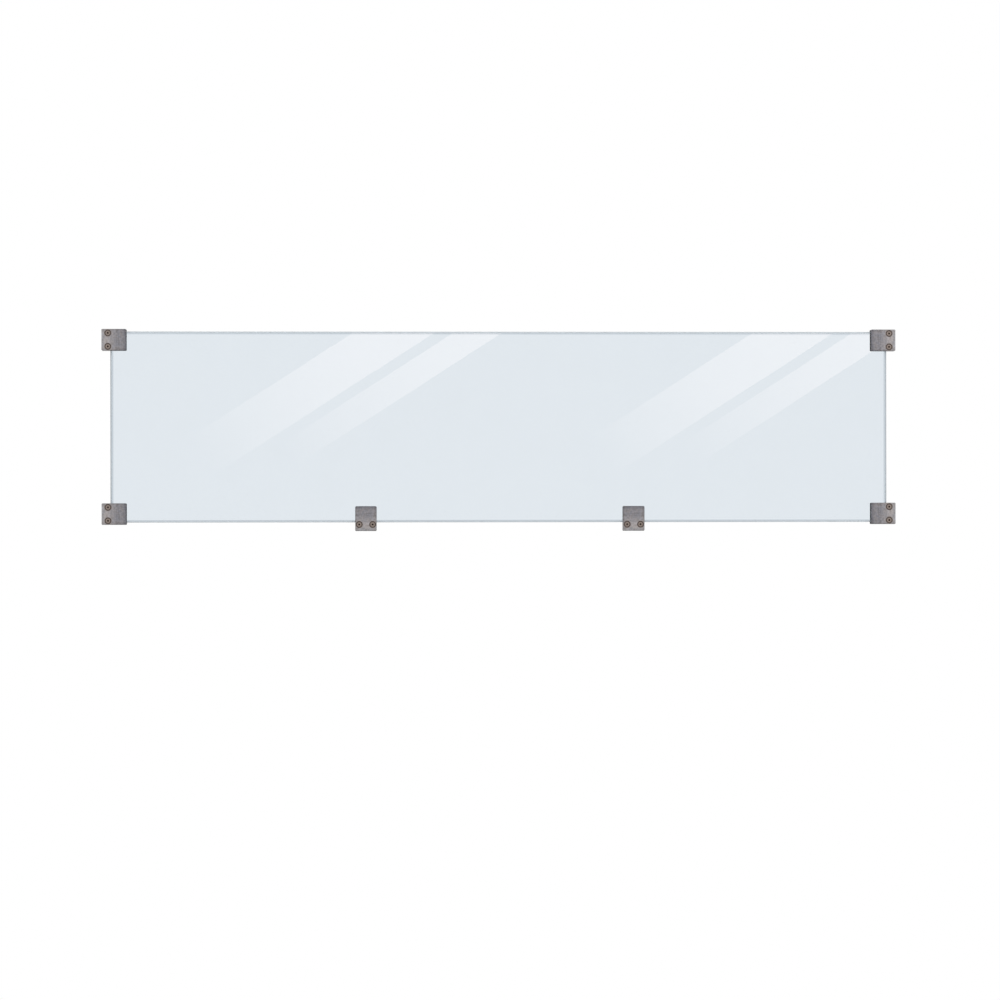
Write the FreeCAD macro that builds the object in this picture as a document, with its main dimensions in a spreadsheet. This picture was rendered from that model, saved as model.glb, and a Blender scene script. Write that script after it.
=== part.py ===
"""Glass balustrade panel: a toughened glass pane held at its edge by six two-part screw clamps.

Frame, in millimetres: +X along the pane, +Y from its front to its back, +Z up. The origin lies
midway along the pane, in the middle of the glass's thickness and level with the seats of the two
clamps under the pane.
"""
import FreeCAD, Part
import math
import os
import Sketcher

# Driving sizes: name, value in millimetres, what it is
SIZES = (
    ("glass_length", 1740, "pane, end to end"),
    ("glass_height", 427, "pane, bottom edge to top edge"),
    ("glass_thickness", 8, "pane, front to back"),
    ("glass_edge_land", 1, "flat left along the middle of the rounded edge"),
    ("clamp_length", 55, "clamp, from its seat to its inner end"),
    ("clamp_width", 48, "clamp, along the glass edge"),
    ("cover_thickness", 8, "front cover plate"),
    ("back_thickness", 8, "back plate of the clamp body"),
    ("web_wall", 1, "metal between the tapped holes and the slot for the glass"),
    ("corner_radius", 2.2, "corners of the clamp seen from the front"),
    ("edge_round", 1.6, "rounding round the outer faces of cover and body"),
    ("cover_setback", 0.3, "cover kept back from the seat, so that only the body bears"),
    ("gasket_thickness", 2, "rubber between metal and glass"),
    ("gasket_lip", 0.75, "rubber between web and glass edge"),
    ("gasket_lip_gap", 0.2, "gap between the lips of the two gaskets"),
    ("gasket_proud", 0.5, "rubber showing past the inner end of the metal"),
    ("gasket_inset", 0.3, "rubber kept back from the sides of the clamp"),
    ("key_height", 1, "raised key on the gasket that stops it from creeping out"),
    ("key_inset", 6, "from the edges of the clamping area to the key"),
    ("key_clearance", 0.2, "round and above the key in its recess"),
    ("screw_offset", 14.6, "from the seat to the screws"),
    ("screw_edge", 9, "from the side of the clamp to the nearer screw"),
    ("screw_diameter", 6, "screw shank"),
    ("screw_grip", 12.2, "length of the screw inside the body"),
    ("screw_point", 0.8, "chamfer at the end of the shank"),
    ("head_diameter", 12.6, "countersunk screw head"),
    ("head_rim", 0.3, "straight rim of the head above its cone"),
    ("head_sink", 0.7, "head below the front of the cover"),
    ("socket_width", 4, "hexagon socket across its flats"),
    ("socket_depth", 2.3, "hexagon socket"),
    ("cover_hole_clearance", 0.3, "round the shank in the cover"),
    ("thread_clearance", 0.05, "round the shank in the tapped hole"),
    ("thread_spare", 2.5, "tapped hole beyond the end of the screw"),
    ("fixing_hole", 6.6, "hole through the web for the fixing to post or rail"),
    ("fixing_head", 11.6, "countersink of that hole, on the glass side"),
    ("corner_overhang", 5, "corner clamps past the top and bottom edges of the pane"),
    ("rail_clamp_spacing", 600, "between the two clamps under the pane"),
)

# Sizes that follow from those above
SLOT_HALF = "(Sizes.glass_thickness / 2 + Sizes.gasket_thickness)"
WEB = "(Sizes.screw_offset + Sizes.screw_diameter / 2 + Sizes.thread_clearance + Sizes.web_wall)"
GLASS_EDGE = f"({WEB} + Sizes.gasket_lip)"
GLASS_ROUND = "(Sizes.glass_thickness - Sizes.glass_edge_land) / 2"
CLAMP_HALF = "(Sizes.clamp_width / 2)"
GASKET_HALF = "(Sizes.clamp_width / 2 - Sizes.gasket_inset)"
FRONT = f"({SLOT_HALF} + Sizes.cover_thickness)"
BACK = f"({SLOT_HALF} + Sizes.back_thickness)"
OUTER_ROUND = "min(Sizes.edge_round; 0.9 * Sizes.corner_radius)"
SCREW_SIDE = "(Sizes.clamp_width / 2 - Sizes.screw_edge)"
SHANK_RADIUS = "(Sizes.screw_diameter / 2)"
HEAD_RADIUS = "(Sizes.head_diameter / 2)"
HEAD_TOP = f"({FRONT} - Sizes.head_sink)"
COUNTERSINK = "(Sizes.head_diameter + 2 * Sizes.head_sink + 2 * Sizes.head_rim)"

# Where each clamp stands: name, turn about Y in degrees, X and Z of the middle of its seat
END_X = f"(Sizes.glass_length / 2 + {GLASS_EDGE})"
TOP_Z = f"({GLASS_EDGE} + Sizes.glass_height + Sizes.corner_overhang - {CLAMP_HALF})"
LOW_Z = f"({GLASS_EDGE} - Sizes.corner_overhang + {CLAMP_HALF})"
RAIL_X = "(Sizes.rail_clamp_spacing / 2)"
CLAMPS = (
    ("left_top", 0, f"-{END_X}", TOP_Z),
    ("left_bottom", 0, f"-{END_X}", LOW_Z),
    ("right_top", 180, END_X, TOP_Z),
    ("right_bottom", 180, END_X, LOW_Z),
    ("rail_left", -90, f"-{RAIL_X}", "0"),
    ("rail_right", -90, RAIL_X, "0"),
)

X_AXIS = FreeCAD.Vector(1, 0, 0)
Y_AXIS = FreeCAD.Vector(0, 1, 0)
SKETCH_ORIGIN = (-1, 1)


def make_sheet(doc):
    """Write the driving sizes into the sheet that every other object reads."""
    sheet = doc.addObject("Spreadsheet::Sheet", "Sizes")
    for row, (alias, value, note) in enumerate(SIZES, start=1):
        sheet.set(f"A{row}", alias)
        sheet.set(f"B{row}", str(value))
        sheet.set(f"C{row}", note)
        sheet.setAlias(f"B{row}", alias)
    doc.recompute()


def new_body(doc, label, turn=FreeCAD.Rotation(), x="0", z="0"):
    """Start a sub-part, turned and set at x, z in the frame of the whole panel."""
    body = doc.addObject("PartDesign::Body", label)
    body.Label = label
    body.Placement = FreeCAD.Placement(FreeCAD.Vector(), turn)
    body.setExpression("Placement.Base.x", x)
    body.setExpression("Placement.Base.z", z)
    return body


def new_sketch(body, role, name, offset):
    """Start a sketch on one of the body's own planes, moved by (right, up, out) on that plane."""
    plane = next(f for f in body.Origin.OriginFeatures if f.Role == role)
    sketch = body.newObject("Sketcher::SketchObject", name)
    sketch.AttachmentSupport = [(plane, "")]
    sketch.MapMode = "FlatFace"
    for axis, expression in zip("xyz", offset):
        sketch.setExpression(f"AttachmentOffset.Base.{axis}", expression)
    return sketch


def face_sketch(body, name, forward):
    """Start a sketch that faces the front, at the given distance forward of the glass's middle."""
    return new_sketch(body, "XZ_Plane", name, ("0", "0", forward))


def tie(sketch, kind, references, expression):
    """Add a sketch dimension and drive it by an expression."""
    name = f"{kind}{sketch.ConstraintCount}"
    index = sketch.addConstraint(Sketcher.Constraint(kind, *references, 1.0))
    sketch.renameConstraint(index, name)
    sketch.setExpression(f"Constraints.{name}", expression)


def tie_point(sketch, geometry, point, x, y):
    """Drive both coordinates of a sketch point."""
    tie(sketch, "DistanceX", (*SKETCH_ORIGIN, geometry, point), x)
    tie(sketch, "DistanceY", (*SKETCH_ORIGIN, geometry, point), y)


def polygon(sketch, corners):
    """Draw a closed outline whose corners (x, y expressions) are each driven."""
    count = len(corners)
    spots = [
        FreeCAD.Vector(math.cos(2 * math.pi * i / count), math.sin(2 * math.pi * i / count), 0)
        for i in range(count)
    ]
    for i in range(count):
        sketch.addGeometry(Part.LineSegment(spots[i], spots[(i + 1) % count]))
    for i in range(count):
        sketch.addConstraint(Sketcher.Constraint("Coincident", i, 2, (i + 1) % count, 1))
    for i, (x, y) in enumerate(corners):
        tie_point(sketch, i, 1, x, y)


def rectangle(sketch, left, right, bottom, top):
    """Draw a square-cornered rectangle between four driven sides."""
    polygon(sketch, ((left, bottom), (right, bottom), (right, top), (left, top)))


def rounded_rectangle(sketch, left, right, half_width, radius):
    """Draw a round-cornered rectangle that is symmetric about the sketch's horizontal axis."""
    middles = ((9, 1, -90), (9, 9, 0), (1, 9, 90), (1, 1, 180))
    lines = (((1, 0), (9, 0)), ((10, 1), (10, 9)), ((9, 10), (1, 10)), ((0, 9), (0, 1)))
    for (start, end), (x, y, angle) in zip(lines, middles):
        sketch.addGeometry(Part.LineSegment(FreeCAD.Vector(*start, 0), FreeCAD.Vector(*end, 0)))
        circle = Part.Circle(FreeCAD.Vector(x, y, 0), FreeCAD.Vector(0, 0, 1), 1)
        turn = math.radians(angle)
        sketch.addGeometry(Part.ArcOfCircle(circle, turn, turn + math.pi / 2))
    for i in range(8):
        sketch.addConstraint(Sketcher.Constraint("Tangent", i, 2, (i + 1) % 8, 1))
    for line, direction in ((0, "Horizontal"), (2, "Vertical"), (4, "Horizontal"), (6, "Vertical")):
        sketch.addConstraint(Sketcher.Constraint(direction, line))
    for arc in (3, 5, 7):
        sketch.addConstraint(Sketcher.Constraint("Equal", 1, arc))
    tie(sketch, "Radius", (1,), radius)
    tie(sketch, "DistanceX", (*SKETCH_ORIGIN, 6, 1), left)
    tie(sketch, "DistanceX", (*SKETCH_ORIGIN, 2, 1), right)
    tie(sketch, "DistanceY", (*SKETCH_ORIGIN, 0, 1), f"-{half_width}")
    tie(sketch, "DistanceY", (*SKETCH_ORIGIN, 4, 1), half_width)


def circle_pair(sketch, x, y, radius):
    """Draw two equal circles, one on each side of the sketch's horizontal axis."""
    for index, height in enumerate((y, f"-{y}")):
        centre = FreeCAD.Vector(5, 5 - 10 * index, 0)
        sketch.addGeometry(Part.Circle(centre, FreeCAD.Vector(0, 0, 1), 1))
        tie(sketch, "Radius", (index,), radius)
        tie_point(sketch, index, 3, x, height)


def hexagon(sketch, across_flats):
    """Draw a regular hexagon about the sketch's origin, points up and down."""
    half = f"({across_flats} / 2)"
    point = f"({across_flats} / sqrt(3))"
    side = f"({across_flats} / sqrt(12))"
    corners = (
        (half, side),
        ("0", point),
        (f"-{half}", side),
        (f"-{half}", f"-{side}"),
        ("0", f"-{point}"),
        (half, f"-{side}"),
    )
    polygon(sketch, corners)


def extrude(body, kind, name, sketch, length, reverse=False):
    """Add a pad or a pocket of the given depth from a sketch."""
    feature = body.newObject(f"PartDesign::{kind}", name)
    feature.Profile = sketch
    feature.Reversed = reverse
    feature.setExpression("Length", length)
    return feature


def countersunk_hole(doc, body, name, sketch, diameter, mouth):
    """Drill right through at each circle of the sketch, with a 90 degree countersink."""
    doc.recompute()
    hole = body.newObject("PartDesign::Hole", name)
    hole.Profile = sketch
    hole.DepthType = "ThroughAll"
    hole.HoleCutType = "Countersink"
    hole.HoleCutCustomValues = True
    hole.HoleCutCountersinkAngle = 90
    hole.setExpression("Diameter", diameter)
    hole.setExpression("HoleCutDiameter", mouth)


def round_face(doc, body, base, direction, radius):
    """Round every edge of the flat face that lies furthest in the given direction."""
    doc.recompute()
    faces = base.Shape.Faces
    furthest = max(range(len(faces)), key=lambda i: faces[i].CenterOfMass.dot(direction))
    rounding = body.newObject("PartDesign::Fillet", "EdgeRound")
    rounding.Base = (base, [f"Face{furthest + 1}"])
    rounding.setExpression("Radius", radius)


def make_glass(doc):
    """Toughened pane with all its edges ground round."""
    body = new_body(doc, "glass_panel", z=GLASS_EDGE)
    outline = face_sketch(body, "Outline", "-Sizes.glass_thickness / 2")
    half = "Sizes.glass_length / 2"
    rectangle(outline, f"-{half}", half, "0", "Sizes.glass_height")
    sheet = extrude(body, "Pad", "Sheet", outline, "Sizes.glass_thickness")
    doc.recompute()
    ground = body.newObject("PartDesign::Fillet", "GroundEdge")
    ground.Base = (sheet, [""])
    ground.UseAllEdges = True
    ground.setExpression("Radius", GLASS_ROUND)
    return body


def cut_key_recess(body, forward, reverse):
    """Sink the recess for the gasket's key into the inner face of a cover or a body."""
    recess = face_sketch(body, "KeyRecessOutline", forward)
    rounded_rectangle(
        recess,
        f"{WEB} + Sizes.key_inset - Sizes.key_clearance",
        "Sizes.clamp_length - Sizes.key_inset + Sizes.key_clearance",
        f"({CLAMP_HALF} - Sizes.key_inset + Sizes.key_clearance)",
        "Sizes.corner_radius + Sizes.key_clearance",
    )
    depth = "Sizes.key_height + Sizes.key_clearance"
    extrude(body, "Pocket", "KeyRecess", recess, depth, reverse)


def make_clamp_body(doc, name, turn, x, z):
    """Back plate and web in one piece: slot for the glass, tapped holes and fixing hole."""
    body = new_body(doc, f"{name}_clamp_body", FreeCAD.Rotation(Y_AXIS, turn), x, z)
    outline = face_sketch(body, "Outline", f"-{BACK}")
    rounded_rectangle(outline, "0", "Sizes.clamp_length", CLAMP_HALF, "Sizes.corner_radius")
    block = extrude(body, "Pad", "Block", outline, f"{BACK} + {SLOT_HALF}")
    round_face(doc, body, block, Y_AXIS, OUTER_ROUND)

    opening = face_sketch(body, "SlotOutline", SLOT_HALF)
    rectangle(opening, WEB, "2 * Sizes.clamp_length", "-Sizes.clamp_width", "Sizes.clamp_width")
    extrude(body, "Pocket", "Slot", opening, f"2 * {SLOT_HALF}")
    cut_key_recess(body, f"-{SLOT_HALF}", False)

    taps = face_sketch(body, "TappedHoleCentres", SLOT_HALF)
    circle_pair(taps, "Sizes.screw_offset", SCREW_SIDE, f"{SHANK_RADIUS} + Sizes.thread_clearance")
    extrude(body, "Pocket", "TappedHoles", taps, "Sizes.screw_grip + Sizes.thread_spare")

    fixing = new_sketch(body, "YZ_Plane", "FixingHoleCentre", ("0", "0", WEB))
    fixing.addGeometry(Part.Circle(FreeCAD.Vector(), FreeCAD.Vector(0, 0, 1), 1))
    tie(fixing, "Radius", (0,), "Sizes.fixing_hole / 2")
    fixing.addConstraint(Sketcher.Constraint("Coincident", 0, 3, *SKETCH_ORIGIN))
    countersunk_hole(doc, body, "FixingHole", fixing, "Sizes.fixing_hole", "Sizes.fixing_head")
    return body


def make_cover(doc, name, turn, x, z):
    """Flat front plate with two countersunk holes and a recess for the gasket's key."""
    body = new_body(doc, f"{name}_clamp_cover", FreeCAD.Rotation(Y_AXIS, turn), x, z)
    outline = face_sketch(body, "Outline", SLOT_HALF)
    setback = "Sizes.cover_setback"
    rounded_rectangle(outline, setback, "Sizes.clamp_length", CLAMP_HALF, "Sizes.corner_radius")
    plate = extrude(body, "Pad", "Plate", outline, "Sizes.cover_thickness")
    round_face(doc, body, plate, -Y_AXIS, OUTER_ROUND)
    cut_key_recess(body, SLOT_HALF, True)

    centres = face_sketch(body, "ScrewHoleCentres", FRONT)
    circle_pair(centres, "Sizes.screw_offset", SCREW_SIDE, SHANK_RADIUS)
    diameter = "Sizes.screw_diameter + 2 * Sizes.cover_hole_clearance"
    countersunk_hole(doc, body, "ScrewHoles", centres, diameter, COUNTERSINK)
    return body


def make_gasket(doc, label, rotation, x, z):
    """Moulded rubber pad, drawn as the back one: flange, key for the recess, lip for the edge."""
    body = new_body(doc, label, rotation, x, z)
    flange = face_sketch(body, "FlangeOutline", f"-{SLOT_HALF}")
    rounded_rectangle(
        flange,
        WEB,
        "Sizes.clamp_length + Sizes.gasket_proud",
        GASKET_HALF,
        "Sizes.corner_radius",
    )
    extrude(body, "Pad", "Flange", flange, "Sizes.gasket_thickness")

    key = face_sketch(body, "KeyOutline", f"-{SLOT_HALF}")
    rounded_rectangle(
        key,
        f"{WEB} + Sizes.key_inset",
        "Sizes.clamp_length - Sizes.key_inset",
        f"({CLAMP_HALF} - Sizes.key_inset)",
        "Sizes.corner_radius",
    )
    extrude(body, "Pad", "Key", key, "Sizes.key_height", reverse=True)

    lip = face_sketch(body, "LipOutline", "-Sizes.glass_thickness / 2")
    lip_half = f"({GASKET_HALF} - Sizes.corner_radius)"
    rectangle(lip, WEB, GLASS_EDGE, f"-{lip_half}", lip_half)
    extrude(body, "Pad", "Lip", lip, "Sizes.glass_thickness / 2 - Sizes.gasket_lip_gap / 2")
    return body


def make_screws(doc, name, turn, x, z):
    """The clamp's two countersunk screws with hexagon sockets."""
    body = new_body(doc, f"{name}_clamp_screws", FreeCAD.Rotation(Y_AXIS, turn), x, z)
    body.AllowCompound = True
    profile = new_sketch(body, "XY_Plane", "Profile", ("Sizes.screw_offset", "0", SCREW_SIDE))
    tip = f"(Sizes.screw_grip - {SLOT_HALF})"
    cone = f"({HEAD_RADIUS} - {SHANK_RADIUS})"
    corners = (
        ("0", f"-{HEAD_TOP}"),
        (HEAD_RADIUS, f"-{HEAD_TOP}"),
        (HEAD_RADIUS, f"-{HEAD_TOP} + Sizes.head_rim"),
        (SHANK_RADIUS, f"-{HEAD_TOP} + Sizes.head_rim + {cone}"),
        (SHANK_RADIUS, f"{tip} - Sizes.screw_point"),
        (f"{SHANK_RADIUS} - Sizes.screw_point", tip),
        ("0", tip),
    )
    polygon(profile, corners)
    turned = body.newObject("PartDesign::Revolution", "Turned")
    turned.Profile = profile
    turned.ReferenceAxis = (profile, ["V_Axis"])
    turned.Angle = 360

    flats = new_sketch(body, "XZ_Plane", "SocketOutline", ("Sizes.screw_offset", SCREW_SIDE, HEAD_TOP))
    hexagon(flats, "Sizes.socket_width")
    socket = extrude(body, "Pocket", "Socket", flats, "Sizes.socket_depth")
    doc.recompute()
    middle = next(f for f in body.Origin.OriginFeatures if f.Role == "XY_Plane")
    pair = body.newObject("PartDesign::Mirrored", "Pair")
    pair.Originals = [turned, socket]
    pair.MirrorPlane = (middle, [""])
    body.Tip = pair
    return body


def make_clamp(doc, name, turn, x, z):
    """One whole clamp: body, cover, gaskets on both sides of the glass, and its screws."""
    back = FreeCAD.Rotation(Y_AXIS, turn)
    front = back.multiply(FreeCAD.Rotation(X_AXIS, 180))
    return [
        make_clamp_body(doc, name, turn, x, z),
        make_cover(doc, name, turn, x, z),
        make_gasket(doc, f"{name}_back_gasket", back, x, z),
        make_gasket(doc, f"{name}_front_gasket", front, x, z),
        make_screws(doc, name, turn, x, z),
    ]


def check(doc, parts):
    """Stop if any object failed, any cut took nothing away or any sub-part is not sound."""
    for thing in doc.Objects:
        if "Invalid" in thing.State or "Error" in thing.State:
            raise RuntimeError(f"{thing.Label} did not build: {thing.State}")
        if thing.TypeId in ("PartDesign::Pocket", "PartDesign::Hole"):
            if thing.Shape.Volume >= thing.BaseFeature.Shape.Volume - 1e-6:
                raise RuntimeError(f"{thing.Label} cuts nothing")
    for part in parts:
        if part.Shape.isNull() or not part.Shape.isValid():
            raise RuntimeError(f"{part.Label} is not a sound shape")


def main():
    """Build the panel and write one file for each sub-part."""
    doc = FreeCAD.newDocument("GlassBalustradePanel")
    make_sheet(doc)
    parts = [make_glass(doc)]
    for name, turn, x, z in CLAMPS:
        parts += make_clamp(doc, name, turn, x, z)
    doc.recompute()
    check(doc, parts)
    os.makedirs("parts", exist_ok=True)
    for part in parts:
        part.Shape.exportStep(f"parts/{part.Label}.step")
    print(f"{len(parts)} sub-parts written")


main()
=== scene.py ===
"""Looks of the glass balustrade panel: finishes, soft studio light and camera round its solids.

Lengths are in metres unless a name ends in _mm.
"""

import logging
import math
from dataclasses import dataclass
from enum import Enum
from typing import Any

import bpy
from mathutils import Matrix, Vector


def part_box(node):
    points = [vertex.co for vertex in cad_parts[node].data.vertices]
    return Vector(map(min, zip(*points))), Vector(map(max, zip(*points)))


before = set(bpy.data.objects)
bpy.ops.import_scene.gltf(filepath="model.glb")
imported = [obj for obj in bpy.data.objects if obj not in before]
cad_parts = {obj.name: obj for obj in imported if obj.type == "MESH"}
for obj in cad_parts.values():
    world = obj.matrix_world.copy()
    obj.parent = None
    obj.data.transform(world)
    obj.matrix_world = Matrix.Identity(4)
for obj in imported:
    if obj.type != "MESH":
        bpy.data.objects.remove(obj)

LOG = logging.getLogger("balustrade_panel")
MM = 0.001
FLOOR_HEIGHT = -0.5 * MM
PICTURE_PX = 1000
# A mix node names its sockets alike for numbers, vectors and colours, so those for colours go by number
SHARE, FIRST_COLOUR, SECOND_COLOUR, MIXED_COLOUR = 0, 6, 7, 2
Colour = tuple[float, float, float, float]
Socket = bpy.types.NodeSocket
Tree = bpy.types.NodeTree


def linear(hex_colour: str) -> Colour:
    """Turn an sRGB colour into linear light.

    Args:
        hex_colour: Colour as "#rrggbb".

    Returns:
        Red, green, blue and an alpha of 1.
    """
    parts = [int(hex_colour[i : i + 2], 16) / 255 for i in (1, 3, 5)]
    light = [c / 12.92 if c <= 0.04045 else ((c + 0.055) / 1.055) ** 2.4 for c in parts]
    return (*light, 1.0)


def add_node(
    tree: Tree, kind: str, inputs: dict[str | int, Any] | None = None, **settings: Any
) -> bpy.types.Node:
    """Add a node with its settings, values and links.

    Args:
        tree: Node tree to add to.
        kind: Blender's name of the node type.
        inputs: Socket name or number, with a value to set or an output socket to link.
        settings: Properties of the node itself.

    Returns:
        The new node.
    """
    node = tree.nodes.new(kind)
    for name, value in settings.items():
        setattr(node, name, value)
    for socket, value in (inputs or {}).items():
        if isinstance(value, Socket):
            tree.links.new(value, node.inputs[socket])
        else:
            node.inputs[socket].default_value = value
    return node


def new_material(name: str) -> tuple[bpy.types.Material, Tree]:
    """Start an empty material.

    Args:
        name: Name of the finish.

    Returns:
        The material and its node tree.
    """
    material = bpy.data.materials.new(name)
    material.use_nodes = True
    material.node_tree.nodes.clear()
    return material, material.node_tree


class Side(Enum):
    """An edge of the pane, with the turn about Y in degrees of a clamp that grips it."""

    LEFT = 0
    RIGHT = 180
    BOTTOM = -90
    TOP = 90


@dataclass(frozen=True)
class ClampPlace:
    """A clamp's own measurements, taken from its solids.

    They count from the middle of its seat: X towards the glass, Y from front to back, Z across.
    """

    name: str
    side: Side

    @property
    def turn(self) -> Matrix:
        """Turn from the clamp's own axes to the panel's."""
        return Matrix.Rotation(math.radians(self.side.value), 3, "Y")

    @property
    def seat(self) -> Vector:
        """Find the middle of the face that stands against the post or rail.

        Returns:
            The point in the panel's frame.
        """
        low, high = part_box(f"{self.name}_clamp_body")
        inwards = self.turn @ Vector((1.0, 0.0, 0.0))
        middle = (low + high) / 2
        return Vector((middle.x, 0.0, middle.z)) - inwards * abs((high - low).dot(inwards)) / 2

    def own_box(self, piece: str) -> tuple[Vector, Vector]:
        """Measure one piece of the clamp in the clamp's own axes.

        Args:
            piece: Name of the piece without the clamp's.

        Returns:
            Its lowest and highest corner.
        """
        back = self.turn.inverted()
        ends = [back @ (corner - self.seat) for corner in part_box(f"{self.name}_{piece}")]
        return Vector([min(pair) for pair in zip(*ends)]), Vector([max(pair) for pair in zip(*ends)])

    @property
    def head_radius(self) -> float:
        """Radius of the screw heads, the widest part of the screws."""
        low, high = self.own_box("clamp_screws")
        return (high.x - low.x) / 2

    def position(self, tree: Tree) -> Socket:
        """Take a point of the clamp in the clamp's own axes.

        Args:
            tree: Node tree of a finish on this clamp.

        Returns:
            The position as a vector.
        """
        in_frame = add_node(tree, "ShaderNodeTexCoord").outputs["Object"]
        turn = (0.0, math.radians(self.side.value), 0.0)
        inputs = {"Vector": in_frame, "Location": self.seat, "Rotation": turn}
        return add_node(tree, "ShaderNodeMapping", inputs, vector_type="TEXTURE").outputs[0]

    def from_screw_axis(self, tree: Tree, position: Socket) -> Socket:
        """Measure how far a point lies from the axis of the nearer screw.

        Args:
            tree: Node tree of a finish on this clamp.
            position: Position in the clamp's own axes.

        Returns:
            The distance.
        """
        low, high = self.own_box("clamp_screws")
        axis = Vector(((low.x + high.x) / 2, 0.0, high.z - self.head_radius))
        # The two screws lie alike on both sides of the middle, so without its sign Z counts for both
        one_half = add_node(tree, "ShaderNodeVectorMath", {0: position}, operation="ABSOLUTE").outputs[0]
        apart = {0: one_half, 1: axis}
        away = add_node(tree, "ShaderNodeVectorMath", apart, operation="SUBTRACT").outputs[0]
        across = {0: away, 1: (1.0, 0.0, 1.0)}
        flat = add_node(tree, "ShaderNodeVectorMath", across, operation="MULTIPLY").outputs[0]
        return add_node(tree, "ShaderNodeVectorMath", {0: flat}, operation="LENGTH").outputs["Value"]


@dataclass(frozen=True)
class PaintedShadeBand:
    """Painted shade along one side of the pane, full up to one distance from it and gone at another."""

    side: Side
    tint: str
    full_mm: float
    gone_mm: float

    def lay(self, tree: Tree, position: Socket, low: Vector, high: Vector, colour: Socket) -> Socket:
        """Paint shade along this side of the glass.

        Args:
            tree: Node tree of the finish.
            position: Position in the panel's frame.
            low: Lowest corner of the pane.
            high: Highest corner of the pane.
            colour: Colour of the glass without this painted shade.

        Returns:
            The colour with it.
        """
        axis = "X" if self.side in (Side.LEFT, Side.RIGHT) else "Z"
        at_low_end = self.side in (Side.LEFT, Side.BOTTOM)
        edge = getattr(low if at_low_end else high, axis.lower())
        inwards = MM if at_low_end else -MM
        along = add_node(tree, "ShaderNodeSeparateXYZ", {0: position}).outputs[axis]
        reach = {
            "Value": along,
            "From Min": edge + self.full_mm * inwards,
            "From Max": edge + self.gone_mm * inwards,
        }
        share = add_node(tree, "ShaderNodeMapRange", reach, interpolation_type="SMOOTHSTEP").outputs[0]
        step = {SHARE: share, FIRST_COLOUR: linear(self.tint), SECOND_COLOUR: colour}
        return add_node(tree, "ShaderNodeMix", step, data_type="RGBA").outputs[MIXED_COLOUR]


@dataclass(frozen=True)
class ToughenedFloatGlass:
    """Polished faces of float glass: a clear pale blue that mirrors a little of the room.

    Toughening on rollers leaves a faint wave in the faces, and wiping leaves a thin film. Along each
    side a painted shade darkens the sheet and stands for the ground edge seen through it.
    """

    tint: str = "#e1e8ee"
    wiped_tint: str = "#dfe6ec"
    # Painted shade along each side, darkest along the bottom, standing for the ground edge seen through
    # the face
    painted_margin_shades: tuple[PaintedShadeBand, ...] = (
        PaintedShadeBand(Side.TOP, "#b7c1ca", 2.5, 8.2),
        PaintedShadeBand(Side.BOTTOM, "#9aa5ae", 2.5, 6.3),
        PaintedShadeBand(Side.RIGHT, "#bcc6ce", 2.5, 8.4),
        PaintedShadeBand(Side.LEFT, "#b2bdc6", 2.5, 8.6),
    )
    ior: float = 1.52
    roller_wave_mm: float = 280.0
    roller_wave_height_mm: float = 0.01
    roller_wave_wander: float = 1.5
    film_mm: float = 70.0
    film_detail: float = 4.0
    film_thin: float = 0.35
    film_thick: float = 0.75
    haze: float = 0.012

    def material(self, low: Vector, high: Vector) -> bpy.types.Material:
        """Build the finish.

        Args:
            low: Lowest corner of the pane.
            high: Highest corner of the pane.

        Returns:
            The material.
        """
        material, tree = new_material("toughened_float_glass")
        position = add_node(tree, "ShaderNodeTexCoord").outputs["Object"]
        smears = {"Vector": position, "Scale": 1 / (self.film_mm * MM), "Detail": self.film_detail}
        film = add_node(tree, "ShaderNodeTexNoise", smears).outputs[0]
        wiping = {SHARE: film, FIRST_COLOUR: linear(self.tint), SECOND_COLOUR: linear(self.wiped_tint)}
        colour = add_node(tree, "ShaderNodeMix", wiping, data_type="RGBA").outputs[MIXED_COLOUR]
        for margin_shade in self.painted_margin_shades:
            colour = margin_shade.lay(tree, position, low, high, colour)
        clouding = {"Value": film, "From Min": self.film_thin, "From Max": self.film_thick}
        dullness = add_node(tree, "ShaderNodeMapRange", {**clouding, "To Max": self.haze})
        # Blender's wave pattern repeats 20 times in 2 pi units at a scale of 1
        wave_scale = math.pi / (10 * self.roller_wave_mm * MM)
        rolling = {"Vector": position, "Scale": wave_scale, "Distortion": self.roller_wave_wander}
        wave = add_node(tree, "ShaderNodeTexWave", rolling)
        swell = {"Height": wave.outputs[1], "Distance": self.roller_wave_height_mm * MM}
        ripple = add_node(tree, "ShaderNodeBump", swell)
        glass = add_node(
            tree,
            "ShaderNodeBsdfPrincipled",
            {
                "Base Color": colour,
                "Roughness": dullness.outputs[0],
                "Normal": ripple.outputs[0],
                "IOR": self.ior,
                "Transmission Weight": 1.0,
            },
        )
        add_node(tree, "ShaderNodeOutputMaterial", {"Surface": glass.outputs[0]})
        return material


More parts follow.
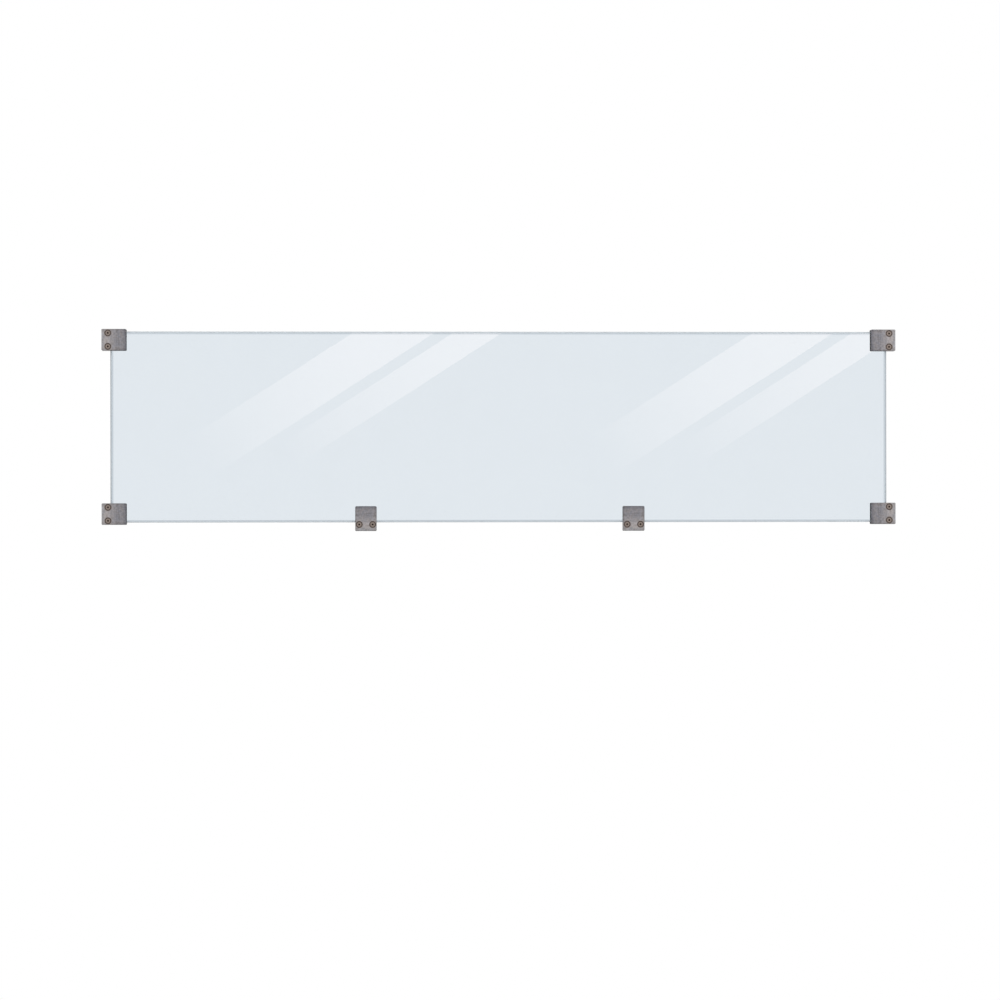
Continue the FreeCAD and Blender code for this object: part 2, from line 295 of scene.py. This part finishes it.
@dataclass(frozen=True)
class GroundGlassEdge:
    """Edge of the sheet, ground round on a diamond wheel: matt, so it reads as a darker line.

    A painted shade darkens it towards the rim on the bottom and upright sides, darkest on the left.
    """

    pale: str = "#d6dde3"
    dark: str = "#c4cdd4"
    # Painted shade at the rim of the bottom and upright edges, darkest on the left
    painted_rim_shades: tuple[PaintedShadeBand, ...] = (
        PaintedShadeBand(Side.BOTTOM, "#838b92", 0.0, 1.3),
        PaintedShadeBand(Side.RIGHT, "#969ea5", 0.6, 3.2),
        PaintedShadeBand(Side.LEFT, "#6d757c", 0.4, 3.0),
    )
    roughness: float = 0.5
    ior: float = 1.52
    clearness: float = 0.7
    # A real wheel leaves marks of about 0.1 mm, too fine to show, so they are drawn coarser
    grit_mm: float = 0.7
    grit_detail: float = 3.0
    pit_depth_mm: float = 0.05
    pit_strength: float = 0.4

    def material(self, low: Vector, high: Vector) -> bpy.types.Material:
        """Build the finish.

        Args:
            low: Lowest corner of the pane.
            high: Highest corner of the pane.

        Returns:
            The material.
        """
        material, tree = new_material("ground_glass_edge")
        position = add_node(tree, "ShaderNodeTexCoord").outputs["Object"]
        marks = {"Vector": position, "Scale": 1 / (self.grit_mm * MM), "Detail": self.grit_detail}
        grit = add_node(tree, "ShaderNodeTexNoise", marks).outputs[0]
        shades = {SHARE: grit, FIRST_COLOUR: linear(self.pale), SECOND_COLOUR: linear(self.dark)}
        colour = add_node(tree, "ShaderNodeMix", shades, data_type="RGBA").outputs[MIXED_COLOUR]
        for rim_shade in self.painted_rim_shades:
            colour = rim_shade.lay(tree, position, low, high, colour)
        pitting = {"Height": grit, "Distance": self.pit_depth_mm * MM, "Strength": self.pit_strength}
        pits = add_node(tree, "ShaderNodeBump", pitting)
        edge = add_node(
            tree,
            "ShaderNodeBsdfPrincipled",
            {
                "Base Color": colour,
                "Normal": pits.outputs[0],
                "Roughness": self.roughness,
                "IOR": self.ior,
                "Transmission Weight": self.clearness,
            },
        )
        add_node(tree, "ShaderNodeOutputMaterial", {"Surface": edge.outputs[0]})
        return material


@dataclass(frozen=True)
class PaintedTone:
    """A colour of painted light and shade that the steel takes on between two distances from the clamp's
    seat.
    """

    colour: str
    from_mm: float
    to_mm: float


@dataclass(frozen=True)
class ScrewRingDarkening:
    """Darkening round the screws, full up to one distance past the countersink's mouth and gone at
    another: a stain over the cover, and painted shade in the countersinks.
    """

    colour: str
    strength: float
    full_mm: float
    gone_mm: float


@dataclass(frozen=True)
class BrushedCastStainless:
    """Cast stainless steel, blasted and lightly brushed across: a dull mottled warm grey.

    Painted light makes the end round the screws paler and the middle darker, and painted shade darkens
    the end that lies on the glass and the long sides. Painted shade fills the countersinks, and a brown
    stain has crept a little way out over the cover.
    """

    outer: str = "#9f9ea0"
    # Painted light and shade: paler towards the screw end, darker in the middle, and painted shade along
    # the end on the glass
    painted_light_tones: tuple[PaintedTone, ...] = (
        PaintedTone("#a5a1a1", 5.0, 9.5),
        PaintedTone("#88878b", 12.0, 36.0),
        PaintedTone("#737277", 48.5, 54.5),
    )
    warm_cast: str = "#fffaf6"
    cool_cast: str = "#f8faff"
    cast_mm: float = 8.0
    cast_range: tuple[float, float] = (0.3, 0.7)
    # Painted shade along the long sides of the clamp
    side_shade: float = 0.8
    side_shade_mm: float = 6.5
    countersink_rim_mm: float = 1.0
    stain: ScrewRingDarkening = ScrewRingDarkening("#7d7069", 0.55, 0.0, 2.2)
    # Painted shade in the countersinks round the screw heads
    recess_painted_shade: ScrewRingDarkening = ScrewRingDarkening("#3a302b", 0.95, -0.3, 0.1)
    roughness_low: float = 0.42
    roughness_high: float = 0.58
    mottle_mm: float = 4.5
    mottle_detail: float = 6.0
    mottle_roughness: float = 0.68
    # Brush lines of such a finish are about 0.2 mm apart and are drawn coarser, so that they show
    brush_line_mm: float = 0.9
    brush_length_mm: float = 22.0
    brush_detail: float = 4.0
    brush_roughness: float = 0.62
    brush_weight: float = 0.9
    texture_range: tuple[float, float] = (0.6, 1.3)
    shade_spread: float = 0.44
    relief_mm: float = 0.08
    relief_strength: float = 0.35

    def ground_colour(self, tree: Tree, position: Socket, place: ClampPlace) -> Socket:
        """Lay the painted light and shade along the clamp, with painted shade at the long sides, and drift
        from warm to cool.

        Args:
            tree: Node tree of the finish.
            position: Position in the clamp's own axes.
            place: Measurements of the clamp.

        Returns:
            The colour.
        """
        own = add_node(tree, "ShaderNodeSeparateXYZ", {0: position}).outputs
        colour: Any = linear(self.outer)
        for painted_tone in self.painted_light_tones:
            reach = {"Value": own["X"], "From Min": painted_tone.from_mm * MM, "From Max": painted_tone.to_mm * MM}
            share = add_node(tree, "ShaderNodeMapRange", reach).outputs[0]
            step = {SHARE: share, FIRST_COLOUR: colour, SECOND_COLOUR: linear(painted_tone.colour)}
            colour = add_node(tree, "ShaderNodeMix", step, data_type="RGBA").outputs[MIXED_COLOUR]
        patches = {"Vector": position, "Scale": 1 / (self.cast_mm * MM)}
        drift = add_node(tree, "ShaderNodeTexNoise", patches).outputs[0]
        warm_end, cool_end = self.cast_range
        reach = {"Value": drift, "From Min": warm_end, "From Max": cool_end}
        share = add_node(tree, "ShaderNodeMapRange", reach).outputs[0]
        casts = {SHARE: share, FIRST_COLOUR: linear(self.warm_cast), SECOND_COLOUR: linear(self.cool_cast)}
        cast = add_node(tree, "ShaderNodeMix", casts, data_type="RGBA").outputs[MIXED_COLOUR]
        from_middle = add_node(tree, "ShaderNodeMath", {0: own["Z"]}, operation="ABSOLUTE").outputs[0]
        side = place.own_box("clamp_cover")[1].z
        edge_band = {"Value": from_middle, "From Min": side - self.side_shade_mm * MM, "From Max": side}
        shading = {**edge_band, "To Min": 1.0, "To Max": self.side_shade}
        shade = add_node(tree, "ShaderNodeMapRange", shading).outputs[0]
        for factor in (cast, shade):
            both = {0: colour, 1: factor}
            colour = add_node(tree, "ShaderNodeVectorMath", both, operation="MULTIPLY").outputs[0]
        return colour

    def add_stain_and_shade(self, tree: Tree, position: Socket, place: ClampPlace, colour: Socket) -> Socket:
        """Add the stain round the countersinks and the painted shade in them.

        Args:
            tree: Node tree of the finish.
            position: Position in the clamp's own axes.
            place: Measurements of the clamp.
            colour: Colour of the clean steel.

        Returns:
            The colour with stain and painted shade.
        """
        mouth = place.head_radius + self.countersink_rim_mm * MM
        radius = place.from_screw_axis(tree, position)
        depth = add_node(tree, "ShaderNodeSeparateXYZ", {0: position}).outputs["Y"]
        before_back = {0: depth, 1: place.own_box("clamp_cover")[1].y}
        on_cover = add_node(tree, "ShaderNodeMath", before_back, operation="LESS_THAN").outputs[0]
        for darkening in (self.stain, self.recess_painted_shade):
            reach = {
                "Value": radius,
                "From Min": mouth + darkening.full_mm * MM,
                "From Max": mouth + darkening.gone_mm * MM,
                "To Min": darkening.strength,
                "To Max": 0.0,
            }
            near = add_node(tree, "ShaderNodeMapRange", reach, interpolation_type="SMOOTHSTEP").outputs[0]
            both = {0: near, 1: on_cover}
            share = add_node(tree, "ShaderNodeMath", both, operation="MULTIPLY").outputs[0]
            step = {SHARE: share, FIRST_COLOUR: colour, SECOND_COLOUR: linear(darkening.colour)}
            colour = add_node(tree, "ShaderNodeMix", step, data_type="RGBA").outputs[MIXED_COLOUR]
        return colour

    def texture(self, tree: Tree, position: Socket) -> Socket:
        """Draw the mottle of the cast skin with the brush lines over it.

        Args:
            tree: Node tree of the finish.
            position: Position in the clamp's own axes.

        Returns:
            Height of the pattern, mostly within texture_range.
        """
        skin = {
            "Vector": position,
            "Scale": 1 / (self.mottle_mm * MM),
            "Detail": self.mottle_detail,
            "Roughness": self.mottle_roughness,
        }
        mottle = add_node(tree, "ShaderNodeTexNoise", skin).outputs[0]
        fine, long = 1 / (self.brush_line_mm * MM), 1 / (self.brush_length_mm * MM)
        drawn = add_node(tree, "ShaderNodeMapping", {"Vector": position, "Scale": (fine, fine, long)})
        brushing = {
            "Vector": drawn.outputs[0],
            "Scale": 1.0,
            "Detail": self.brush_detail,
            "Roughness": self.brush_roughness,
        }
        lines = add_node(tree, "ShaderNodeTexNoise", brushing).outputs[0]
        both = {0: lines, 1: self.brush_weight, 2: mottle}
        return add_node(tree, "ShaderNodeMath", both, operation="MULTIPLY_ADD").outputs[0]

    def material(self, place: ClampPlace) -> bpy.types.Material:
        """Build the finish for one clamp.

        Args:
            place: Measurements of the clamp.

        Returns:
            The material.
        """
        material, tree = new_material(f"brushed_cast_stainless_{place.name}")
        position = place.position(tree)
        texture = self.texture(tree, position)
        hollow, ridge = self.texture_range
        reach = {"Value": texture, "From Min": hollow, "From Max": ridge}
        shading = {**reach, "To Min": 1.0 - self.shade_spread, "To Max": 1.0 + self.shade_spread}
        shade = add_node(tree, "ShaderNodeMapRange", shading).outputs[0]
        both = {0: self.ground_colour(tree, position, place), 1: shade}
        clean = add_node(tree, "ShaderNodeVectorMath", both, operation="MULTIPLY").outputs[0]
        dulling = {**reach, "To Min": self.roughness_high, "To Max": self.roughness_low}
        dullness = add_node(tree, "ShaderNodeMapRange", dulling)
        scoring = {"Height": texture, "Distance": self.relief_mm * MM, "Strength": self.relief_strength}
        relief = add_node(tree, "ShaderNodeBump", scoring)
        steel = add_node(
            tree,
            "ShaderNodeBsdfPrincipled",
            {
                "Base Color": self.add_stain_and_shade(tree, position, place, clean),
                "Roughness": dullness.outputs[0],
                "Normal": relief.outputs[0],
                "Metallic": 1.0,
            },
        )
        add_node(tree, "ShaderNodeOutputMaterial", {"Surface": steel.outputs[0]})
        return material


@dataclass(frozen=True)
class BrownedScrewSteel:
    """Cold-headed screw steel with a brown oil finish, worn paler on the ring round the socket.

    A painted shade darkens the socket and the rim of the head.
    """

    worn: str = "#998d86"
    brown: str = "#7c7069"
    # Painted shade in the socket and at the rim of the head
    recess_painted_shade: str = "#2b221f"
    roughness: float = 0.45
    unshaded_radius_mm: float = 4.4
    rim_painted_shade: float = 0.8
    socket_unshaded_mm: float = 0.1
    socket_painted_shade_mm: float = 0.8
    stain_mm: float = 3.0
    stain_detail: float = 4.0
    # Turning marks of about 0.1 mm are drawn coarser, so that they show
    ring_mm: float = 0.8
    groove_mm: float = 0.03
    groove_strength: float = 0.4

    def recess_shade(self, tree: Tree, position: Socket, radius: Socket, place: ClampPlace) -> Socket:
        """Find where painted shade lies on a screw, in the socket and at the rim of the head.

        Args:
            tree: Node tree of the finish.
            position: Position in the clamp's own axes.
            radius: Distance from the screw's axis.
            place: Measurements of the clamp.

        Returns:
            Share of painted shade, from 0 to 1.
        """
        depth = add_node(tree, "ShaderNodeSeparateXYZ", {0: position}).outputs["Y"]
        head_face = place.own_box("clamp_screws")[0].y
        socket_reach = {
            "Value": depth,
            "From Min": head_face + self.socket_unshaded_mm * MM,
            "From Max": head_face + self.socket_painted_shade_mm * MM,
        }
        in_socket = add_node(tree, "ShaderNodeMapRange", socket_reach).outputs[0]
        rim_reach = {
            "Value": radius,
            "From Min": self.unshaded_radius_mm * MM,
            "From Max": place.head_radius,
            "To Max": self.rim_painted_shade,
        }
        at_rim = add_node(tree, "ShaderNodeMapRange", rim_reach).outputs[0]
        return add_node(tree, "ShaderNodeMath", {0: in_socket, 1: at_rim}, operation="MAXIMUM").outputs[0]

    def material(self, place: ClampPlace) -> bpy.types.Material:
        """Build the finish for one clamp's two screws.

        Args:
            place: Measurements of the clamp.

        Returns:
            The material.
        """
        material, tree = new_material(f"browned_screw_steel_{place.name}")
        position = place.position(tree)
        radius = place.from_screw_axis(tree, position)
        staining = {"Vector": position, "Scale": 1 / (self.stain_mm * MM), "Detail": self.stain_detail}
        stain = add_node(tree, "ShaderNodeTexNoise", staining).outputs[0]
        oiled = {SHARE: stain, FIRST_COLOUR: linear(self.worn), SECOND_COLOUR: linear(self.brown)}
        colour = add_node(tree, "ShaderNodeMix", oiled, data_type="RGBA").outputs[MIXED_COLOUR]
        recess_shade = self.recess_shade(tree, position, radius, place)
        with_painted_shade = {SHARE: recess_shade, FIRST_COLOUR: colour, SECOND_COLOUR: linear(self.recess_painted_shade)}
        colour = add_node(tree, "ShaderNodeMix", with_painted_shade, data_type="RGBA").outputs[MIXED_COLOUR]
        turning = {0: radius, 1: 2 * math.pi / (self.ring_mm * MM)}
        phase = add_node(tree, "ShaderNodeMath", turning, operation="MULTIPLY").outputs[0]
        rings = add_node(tree, "ShaderNodeMath", {0: phase}, operation="SINE").outputs[0]
        cutting = {"Height": rings, "Distance": self.groove_mm * MM, "Strength": self.groove_strength}
        grooves = add_node(tree, "ShaderNodeBump", cutting)
        steel = add_node(
            tree,
            "ShaderNodeBsdfPrincipled",
            {
                "Base Color": colour,
                "Normal": grooves.outputs[0],
                "Roughness": self.roughness,
                "Metallic": 1.0,
            },
        )
        add_node(tree, "ShaderNodeOutputMaterial", {"Surface": steel.outputs[0]})
        return material


@dataclass(frozen=True)
class MouldedRubber:
    """Black EPDM from a spark-eroded mould: nearly black, with a fine dull grain."""

    dark: str = "#1f1f21"
    bloom: str = "#343436"
    roughness: float = 0.78
    # The mould's grain of about 0.1 mm is drawn coarser, so that it shows
    grain_mm: float = 0.7
    grain_detail: float = 3.0
    relief_mm: float = 0.05
    relief_strength: float = 0.5

    def material(self) -> bpy.types.Material:
        """Build the finish.

        Returns:
            The material.
        """
        material, tree = new_material("moulded_rubber")
        position = add_node(tree, "ShaderNodeTexCoord").outputs["Object"]
        eroded = {"Vector": position, "Scale": 1 / (self.grain_mm * MM), "Detail": self.grain_detail}
        grain = add_node(tree, "ShaderNodeTexNoise", eroded).outputs[0]
        shades = {SHARE: grain, FIRST_COLOUR: linear(self.dark), SECOND_COLOUR: linear(self.bloom)}
        colour = add_node(tree, "ShaderNodeMix", shades, data_type="RGBA").outputs[MIXED_COLOUR]
        moulding = {"Height": grain, "Distance": self.relief_mm * MM, "Strength": self.relief_strength}
        relief = add_node(tree, "ShaderNodeBump", moulding).outputs[0]
        finish = {"Base Color": colour, "Normal": relief, "Roughness": self.roughness}
        rubber = add_node(tree, "ShaderNodeBsdfPrincipled", finish)
        add_node(tree, "ShaderNodeOutputMaterial", {"Surface": rubber.outputs[0]})
        return material


@dataclass
class GlassPane:
    """The sheet of glass, with polished faces and ground edges."""

    node: str = "glass_panel"
    face_finish: ToughenedFloatGlass = ToughenedFloatGlass()
    edge_finish: GroundGlassEdge = GroundGlassEdge()
    flat_face_normal: float = 0.9995

    def dress(self) -> None:
        """Give faces and edges their finishes, and let lamps and room light the floor through them."""
        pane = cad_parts[self.node]
        pane.data.materials.clear()
        for finish in (self.face_finish, self.edge_finish):
            pane.data.materials.append(finish.material(*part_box(self.node)))
        for polygon in pane.data.polygons:
            polygon.material_index = int(abs(polygon.normal.y) < self.flat_face_normal)
        pane.visible_shadow = False
        pane.visible_diffuse = False
        LOG.info("%s dressed in glass", self.node)


@dataclass
class Clamp:
    """One clamp: body and cover in steel, its two screws and its gaskets."""

    name: str
    side: Side
    steel: BrushedCastStainless = BrushedCastStainless()
    screw_steel: BrownedScrewSteel = BrownedScrewSteel()

    def dress(self, rubber: bpy.types.Material) -> None:
        """Give every piece of the clamp its finish.

        Args:
            rubber: Finish of the gaskets.
        """
        place = ClampPlace(self.name, self.side)
        steel = self.steel.material(place)
        finishes = {
            "clamp_body": steel,
            "clamp_cover": steel,
            "clamp_screws": self.screw_steel.material(place),
            "front_gasket": rubber,
            "back_gasket": rubber,
        }
        for piece, finish in finishes.items():
            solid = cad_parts[f"{self.name}_{piece}"]
            solid.data.materials.clear()
            solid.data.materials.append(finish)
            LOG.info("%s_%s dressed in %s", self.name, piece, finish.name)


CLAMPS = (
    Clamp("left_top", Side.LEFT),
    Clamp("left_bottom", Side.LEFT),
    Clamp("right_top", Side.RIGHT),
    Clamp("right_bottom", Side.RIGHT),
    Clamp("rail_left", Side.BOTTOM),
    Clamp("rail_right", Side.BOTTOM),
)


@dataclass(frozen=True)
class FrontCamera:
    """Long lens before the pane, a little to the left of its middle and level with the floor.

    A trace of roll tilts the pane's long edges as the photograph shows them.
    """

    distance: float = 8.0
    yaw_deg: float = 1.94
    roll_deg: float = 0.064
    view_width: float = 2.2419
    shift_px: tuple[float, float] = (0.12, 31.09)

    @property
    def place(self) -> Vector:
        """Where the camera stands."""
        yaw = math.radians(self.yaw_deg)
        return Vector((-math.sin(yaw) * self.distance, -math.cos(yaw) * self.distance, FLOOR_HEIGHT))

    def build(self) -> None:
        """Set the camera up, aimed level at the middle of the panel."""
        data = bpy.data.cameras.new("front_camera")
        data.lens = data.sensor_width * self.distance / self.view_width
        data.shift_x, data.shift_y = (shift / PICTURE_PX for shift in self.shift_px)
        camera = bpy.data.objects.new("front_camera", data)
        camera.location = self.place
        camera.rotation_euler = (math.pi / 2, math.radians(self.roll_deg), -math.radians(self.yaw_deg))
        bpy.context.scene.collection.objects.link(camera)
        bpy.context.scene.camera = camera
        LOG.info("front_camera ready")


def add_sheet(
    name: str, corners: list[tuple[float, float, float]], material: bpy.types.Material
) -> bpy.types.Object:
    """Add one flat sheet of the studio, which is no part of the panel.

    Args:
        name: Name of the sheet.
        corners: Its four corners in order.
        material: Its material.

    Returns:
        The sheet.
    """
    mesh = bpy.data.meshes.new(name)
    mesh.from_pydata(corners, [], [tuple(range(len(corners)))])
    mesh.materials.append(material)
    sheet = bpy.data.objects.new(name, mesh)
    bpy.context.scene.collection.objects.link(sheet)
    return sheet


@dataclass(frozen=True)
class Streak:
    """A pale streak that a strip of light leaves in the pane, by the middle of its faded lower end."""

    name: str
    foot_x: float
    foot_z: float
    width: float


@dataclass(frozen=True)
class StripLights:
    """Slanting strips of light before the pane that show in it as pale streaks.

    Sizes are those of the streaks on the pane. Each strip hangs where the lens sees it mirrored
    there, larger in proportion to the longer way.
    """

    streaks: tuple[Streak, ...] = (
        Streak("wide_strip", -0.6684, 0.1665, 0.0985),
        Streak("narrow_strip", -0.4738, 0.1705, 0.0592),
    )
    groups: int = 2
    group_spacing: float = 0.897
    angle_deg: float = 32.76
    length: float = 0.6
    fade: float = 0.51
    falloff: float = 1.52
    colour: str = "#fbe3d8"
    level: float = 2.33
    distance: float = 3.0

    def material(self) -> bpy.types.Material:
        """Build the light of the strips, which fades out towards the foot.

        Returns:
            The material.
        """
        material, tree = new_material("fading_strip_light")
        position = add_node(tree, "ShaderNodeTexCoord").outputs["Object"]
        along = add_node(tree, "ShaderNodeSeparateXYZ", {0: position}).outputs["X"]
        reach = {"Value": along, "From Max": self.fade, "To Min": 1.0, "To Max": 0.0}
        short_of_full = add_node(tree, "ShaderNodeMapRange", reach).outputs[0]
        bent = {0: short_of_full, 1: self.falloff}
        curve = add_node(tree, "ShaderNodeMath", bent, operation="POWER").outputs[0]
        dimming = {"Value": curve, "To Min": self.level, "To Max": 0.0}
        level = add_node(tree, "ShaderNodeMapRange", dimming).outputs[0]
        glow = add_node(tree, "ShaderNodeEmission", {"Color": linear(self.colour), "Strength": level})
        clear = add_node(tree, "ShaderNodeBsdfTransparent")
        both = add_node(tree, "ShaderNodeAddShader", {0: glow.outputs[0], 1: clear.outputs[0]})
        add_node(tree, "ShaderNodeOutputMaterial", {"Surface": both.outputs[0]})
        return material

    def build(self, lens: Vector, pane_front: float) -> None:
        """Hang the strips, visible in mirrors only.

        Args:
            lens: Where the camera stands.
            pane_front: Y of the pane's front face.
        """
        material = self.material()
        growth = 1.0 + (self.distance + pane_front) / (pane_front - lens.y)
        for group in range(self.groups):
            for streak in self.streaks:
                half = streak.width / 2
                outline = ((0.0, -half), (self.length, -half), (self.length, half), (0.0, half))
                corners = [(along, 0.0, across) for along, across in outline]
                strip = add_sheet(f"{streak.name}_{group + 1}", corners, material)
                foot_x = streak.foot_x + group * self.group_spacing
                strip.location = (
                    lens.x + (foot_x - lens.x) * growth,
                    -self.distance,
                    lens.z + (streak.foot_z - lens.z) * growth,
                )
                strip.rotation_euler = (0.0, -math.radians(self.angle_deg), 0.0)
                strip.scale = (growth, 1.0, growth)
                strip.visible_camera = False
                strip.visible_diffuse = False
                strip.visible_transmission = False
                strip.visible_volume_scatter = False
                strip.visible_shadow = False
                LOG.info("%s ready", strip.name)


@dataclass(frozen=True)
class Lamp:
    """One soft square lamp."""

    name: str
    place: tuple[float, float, float]
    size: float
    power: float

    def build(self, target: Vector) -> None:
        """Hang the lamp.

        Args:
            target: Point that it faces.
        """
        data = bpy.data.lights.new(self.name, "AREA")
        data.size = self.size
        data.energy = self.power
        lamp = bpy.data.objects.new(self.name, data)
        lamp.location = self.place
        lamp.rotation_euler = (target - lamp.location).to_track_quat("-Z", "Y").to_euler()
        bpy.context.scene.collection.objects.link(lamp)
        LOG.info("%s ready", self.name)


def looked_at(tree: Tree) -> Socket:
    """Tell what the eye meets from what only lights other surfaces.

    Args:
        tree: Node tree of the room or of its floor.

    Returns:
        1 for what the eye meets directly, in mirrors or through glass, otherwise 0.
    """
    rays = add_node(tree, "ShaderNodeLightPath").outputs
    direct = {0: rays["Is Camera Ray"], 1: rays["Is Glossy Ray"]}
    mirrored = add_node(tree, "ShaderNodeMath", direct, operation="MAXIMUM").outputs[0]
    through = {0: mirrored, 1: rays["Is Transmission Ray"]}
    return add_node(tree, "ShaderNodeMath", through, operation="MAXIMUM").outputs[0]


@dataclass(frozen=True)
class MattPaper:
    """Pale uncoated paper on the floor: matt, and faintly cloudy from the way its fibres settled.

    Far from the panel it passes into the white of the room.
    """

    pale: str = "#f4f4f3"
    dark: str = "#f0f0ef"
    roughness: float = 0.9
    # Real clouds of fibres are a few millimetres wide and are drawn coarser, so that they show
    cloud_mm: float = 333.0
    cloud_detail: float = 3.0
    fade_from: float = 2.5
    fade_to: float = 9.0

    def material(self) -> bpy.types.Material:
        """Build the finish.

        Returns:
            The material.
        """
        material, tree = new_material("pale_matt_paper")
        position = add_node(tree, "ShaderNodeTexCoord").outputs["Object"]
        clouds = {"Vector": position, "Scale": 1 / (self.cloud_mm * MM), "Detail": self.cloud_detail}
        fibre = add_node(tree, "ShaderNodeTexNoise", clouds).outputs[0]
        shades = {SHARE: fibre, FIRST_COLOUR: linear(self.pale), SECOND_COLOUR: linear(self.dark)}
        colour = add_node(tree, "ShaderNodeMix", shades, data_type="RGBA").outputs[MIXED_COLOUR]
        finish = {"Base Color": colour, "Roughness": self.roughness, "Specular IOR Level": 0.0}
        paper = add_node(tree, "ShaderNodeBsdfPrincipled", finish).outputs[0]
        away = add_node(tree, "ShaderNodeVectorMath", {0: position}, operation="LENGTH").outputs["Value"]
        reach = {"Value": away, "From Min": self.fade_from, "From Max": self.fade_to}
        far = add_node(tree, "ShaderNodeMapRange", reach, interpolation_type="SMOOTHSTEP").outputs[0]
        both = {0: far, 1: looked_at(tree)}
        fade = add_node(tree, "ShaderNodeMath", both, operation="MULTIPLY").outputs[0]
        white = add_node(tree, "ShaderNodeEmission").outputs[0]
        floor = add_node(tree, "ShaderNodeMixShader", {0: fade, 1: paper, 2: white})
        add_node(tree, "ShaderNodeOutputMaterial", {"Surface": floor.outputs[0]})
        return material


@dataclass(frozen=True)
class Room:
    """White surroundings, a pale floor and two soft lamps."""

    colour: str = "#ffffff"
    light_level: float = 0.9
    floor_size: float = 60.0
    floor_finish: MattPaper = MattPaper()
    lamps: tuple[Lamp, ...] = (
        Lamp("key_lamp", (3.2, -4.8, 4.8), 3.2, 80.0),
        Lamp("fill_lamp", (-5.0, -3.2, 3.2), 3.2, 40.0),
    )

    def add_surroundings(self) -> None:
        """Show white to the eye and light matt surfaces a little less."""
        world = bpy.data.worlds.new("white_studio")
        world.use_nodes = True
        tree = world.node_tree
        tree.nodes.clear()
        reach = {"Value": looked_at(tree), "To Min": self.light_level, "To Max": 1.0}
        level = add_node(tree, "ShaderNodeMapRange", reach).outputs[0]
        light = {"Color": linear(self.colour), "Strength": level}
        backdrop = add_node(tree, "ShaderNodeBackground", light)
        add_node(tree, "ShaderNodeOutputWorld", {"Surface": backdrop.outputs[0]})
        bpy.context.scene.world = world

    def add_floor(self) -> None:
        """Lay the floor just under the lower clamps."""
        half = self.floor_size / 2
        outline = ((-half, -half), (half, -half), (half, half), (-half, half))
        corners = [(x, y, FLOOR_HEIGHT) for x, y in outline]
        add_sheet("studio_floor", corners, self.floor_finish.material())

    def build(self, target: Vector) -> None:
        """Set up surroundings, floor and lamps.

        Args:
            target: Point that the lamps face.
        """
        bpy.context.scene.view_settings.view_transform = "Standard"
        self.add_surroundings()
        self.add_floor()
        for lamp in self.lamps:
            lamp.build(target)
        LOG.info("room ready")


def main() -> None:
    """Dress the panel and set up its studio."""
    logging.basicConfig(level=logging.INFO)
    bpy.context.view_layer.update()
    pane = GlassPane()
    pane.dress()
    rubber = MouldedRubber().material()
    for clamp in CLAMPS:
        clamp.dress(rubber)
    camera = FrontCamera()
    camera.build()
    pane_low, pane_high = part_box(pane.node)
    Room().build((pane_low + pane_high) / 2)
    StripLights().build(camera.place, pane_low.y)


if __name__ == "__main__":
    main()
